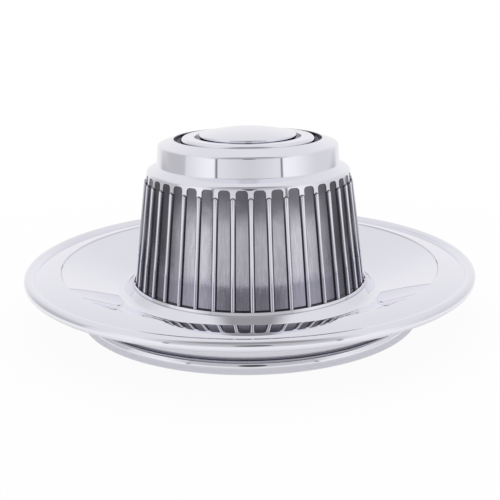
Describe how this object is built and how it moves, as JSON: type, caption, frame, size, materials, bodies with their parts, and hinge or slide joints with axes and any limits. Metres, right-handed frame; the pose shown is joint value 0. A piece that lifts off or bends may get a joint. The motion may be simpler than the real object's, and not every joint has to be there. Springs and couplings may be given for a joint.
{
  "type": "wheel center cap",
  "caption": "Tall chrome wheel center cap: finned barrel with a stepped hat in a dished flange with a rolled rim, on a clip-on base ring that clips over the wheel's hub lip.",
  "frame": {"origin": "on the cap's axis, at the foot of the base ring", "axes": "+Z along the cap's axis of symmetry, from the base ring to the domed crown"},
  "size_m": [0.27, 0.27, 0.1127],
  "materials": {
    "bright_chrome": "mirror chrome plate on drawn steel sheet",
    "barrel_chrome": "mirror chrome plate on moulded plastic, with satin grey paint in the flutes and grooves",
    "spring_steel": "blued spring steel strip",
    "rivet_steel": "zinc plated steel"
  },
  "bodies": {
    "root": {"flange_dish": "bright_chrome", "base_ring": "bright_chrome", "finned_barrel": "barrel_chrome", "top_medallion": "barrel_chrome", "medallion_push_nuts": "spring_steel", "spring_clip_1": "spring_steel", "spring_clip_2": "spring_steel", "spring_clip_3": "spring_steel", "spring_clip_4": "spring_steel", "spring_clip_5": "spring_steel", "clip_rivets": "rivet_steel"}
  },
  "joints": []
}
